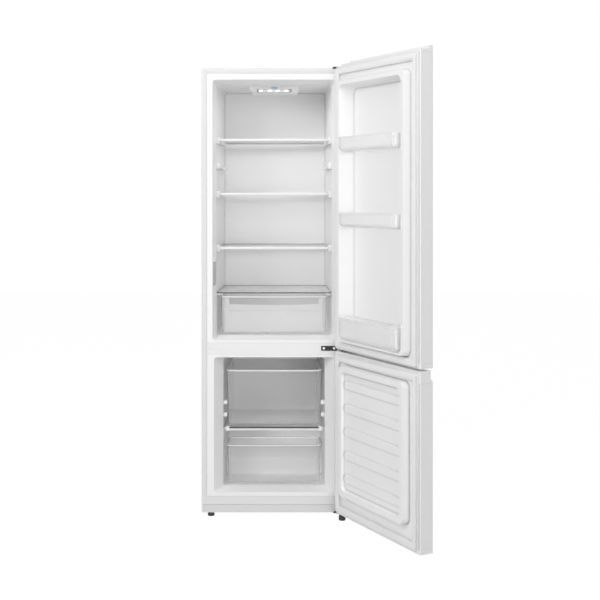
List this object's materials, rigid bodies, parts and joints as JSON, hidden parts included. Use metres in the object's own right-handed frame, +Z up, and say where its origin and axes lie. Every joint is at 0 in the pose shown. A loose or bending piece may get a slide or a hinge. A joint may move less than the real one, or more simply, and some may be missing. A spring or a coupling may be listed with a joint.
{
  "type": "bottom freezer refrigerator",
  "caption": "Tall free-standing refrigerator with a freezer compartment below, both doors hinged on the right, glass shelves, clear drawers and door bins.",
  "frame": {"origin": "centre of the cabinet's underside; the feet reach 15 mm below it to the floor", "axes": "+X to the right as seen from the front, +Y to the back, +Z up; the front faces -Y"},
  "size_m": [0.8103, 1.0114, 1.72],
  "materials": {
    "white_steel": "gloss",
    "white_plastic": "satin",
    "insulation": "matte",
    "plated_steel": "satin",
    "black_steel": "satin",
    "dark_plastic": "matte",
    "screw_steel": "gloss",
    "clear_glass": "gloss",
    "clear_plastic": "gloss",
    "seal_rubber": "satin",
    "black_rubber": "matte",
    "copper": "satin",
    "bare_aluminium": "satin"
  },
  "bodies": {
    "cabinet": {"outer_shell": "white_steel", "back_panel": "plated_steel", "base_plate": "plated_steel", "bay_wall": "plated_steel", "cabinet_foam": "insulation", "fridge_liner": "white_plastic", "freezer_liner": "white_plastic", "mullion": "white_plastic", "toe_strip": "white_plastic", "hole_plugs": "white_plastic", "top_hinge": "black_steel", "top_hinge_cover": "dark_plastic", "middle_hinge": "black_steel", "bottom_hinge": "black_steel", "hinge_screws": "screw_steel", "lamp_housing": "white_plastic", "lamp_lens": "clear_plastic", "compressor": "black_steel", "compressor_mounts": "black_rubber", "relay_box": "dark_plastic", "drip_tray": "dark_plastic", "filter_drier": "copper", "refrigerant_tubes": "copper", "fridge_evaporator": "bare_aluminium", "freezer_evaporator": "bare_aluminium", "cord_inlet": "black_rubber", "roller_brackets": "plated_steel"},
    "upper_door": {"upper_door_skin": "white_steel", "upper_door_foam": "insulation", "upper_door_liner": "white_plastic", "upper_door_top_cap": "white_plastic", "upper_door_bottom_cap": "white_plastic", "upper_door_gasket": "seal_rubber", "door_stop": "black_steel"},
    "lower_door": {"lower_door_skin": "white_steel", "lower_door_foam": "insulation", "lower_door_liner": "white_plastic", "lower_door_top_cap": "white_plastic", "lower_door_bottom_cap": "white_plastic", "lower_door_gasket": "seal_rubber"},
    "upper_bin": {"upper_bin": "clear_plastic"},
    "middle_bin": {"middle_bin": "clear_plastic"},
    "lower_bin": {"lower_bin": "clear_plastic"},
    "upper_shelf": {"upper_shelf": "clear_glass", "upper_shelf_trims": "white_plastic"},
    "middle_shelf": {"middle_shelf": "clear_glass", "middle_shelf_trims": "white_plastic"},
    "lower_shelf": {"lower_shelf": "clear_glass", "lower_shelf_trims": "white_plastic"},
    "freezer_shelf": {"freezer_shelf": "clear_glass", "freezer_shelf_trim": "white_plastic"},
    "crisper_cover": {"crisper_cover": "clear_glass"},
    "crisper_drawer": {"crisper_drawer": "clear_plastic"},
    "upper_freezer_drawer": {"upper_freezer_drawer": "clear_plastic"},
    "lower_freezer_drawer": {"lower_freezer_drawer": "clear_plastic"},
    "thermostat_knob": {"thermostat_knob": "white_plastic"},
    "left_foot": {"left_foot": "dark_plastic"},
    "right_foot": {"right_foot": "dark_plastic"},
    "left_roller": {"left_roller": "dark_plastic"},
    "right_roller": {"right_roller": "dark_plastic"}
  },
  "joints": [
    {"name": "upper_door_hinge", "type": "hinge", "parent": "cabinet", "child": "upper_door", "pos_m": [0.2615, -0.2816, 0.62], "axis": [0, 0, 1], "range_deg": [-117.8, 12.2]},
    {"name": "lower_door_hinge", "type": "hinge", "parent": "cabinet", "child": "lower_door", "pos_m": [0.2615, -0.2816, 0.62], "axis": [0, 0, 1], "range_deg": [-117.8, 12.2]},
    {"name": "upper_bin_lift", "type": "slide", "parent": "upper_door", "child": "upper_bin", "axis": [0, 0, 1], "range_m": [0, 0.025]},
    {"name": "middle_bin_lift", "type": "slide", "parent": "upper_door", "child": "middle_bin", "axis": [0, 0, 1], "range_m": [0, 0.025]},
    {"name": "lower_bin_lift", "type": "slide", "parent": "upper_door", "child": "lower_bin", "axis": [0, 0, 1], "range_m": [0, 0.025]},
    {"name": "upper_shelf_slide", "type": "slide", "parent": "cabinet", "child": "upper_shelf", "axis": [0, -1, 0], "range_m": [0, 0.3]},
    {"name": "middle_shelf_slide", "type": "slide", "parent": "cabinet", "child": "middle_shelf", "axis": [0, -1, 0], "range_m": [0, 0.3]},
    {"name": "lower_shelf_slide", "type": "slide", "parent": "cabinet", "child": "lower_shelf", "axis": [0, -1, 0], "range_m": [0, 0.3]},
    {"name": "crisper_cover_slide", "type": "slide", "parent": "cabinet", "child": "crisper_cover", "axis": [0, -1, 0], "range_m": [0, 0.3]},
    {"name": "freezer_shelf_slide", "type": "slide", "parent": "cabinet", "child": "freezer_shelf", "axis": [0, -1, 0], "range_m": [0, 0.3]},
    {"name": "crisper_drawer_slide", "type": "slide", "parent": "cabinet", "child": "crisper_drawer", "axis": [0, -1, 0], "range_m": [0, 0.27]},
    {"name": "upper_freezer_drawer_slide", "type": "slide", "parent": "cabinet", "child": "upper_freezer_drawer", "axis": [0, -1, 0], "range_m": [0, 0.26]},
    {"name": "lower_freezer_drawer_slide", "type": "slide", "parent": "cabinet", "child": "lower_freezer_drawer", "axis": [0, -1, 0], "range_m": [0, 0.12]},
    {"name": "thermostat_turn", "type": "hinge", "parent": "cabinet", "child": "thermostat_knob", "pos_m": [0, -0.105, 1.6233], "axis": [0, 0, -1], "range_deg": [0, 270]},
    {"name": "left_foot_screw", "type": "hinge", "parent": "cabinet", "child": "left_foot", "pos_m": [-0.239, -0.231, -0.01], "axis": [0, 0, 1], "continuous": true},
    {"name": "right_foot_screw", "type": "hinge", "parent": "cabinet", "child": "right_foot", "pos_m": [0.2565, -0.2906, -0.01], "axis": [0, 0, 1], "continuous": true},
    {"name": "left_roller_spin", "type": "hinge", "parent": "cabinet", "child": "left_roller", "pos_m": [-0.241, 0.219, -0.003], "axis": [1, 0, 0], "continuous": true},
    {"name": "right_roller_spin", "type": "hinge", "parent": "cabinet", "child": "right_roller", "pos_m": [0.241, 0.219, -0.003], "axis": [1, 0, 0], "continuous": true}
  ]
}
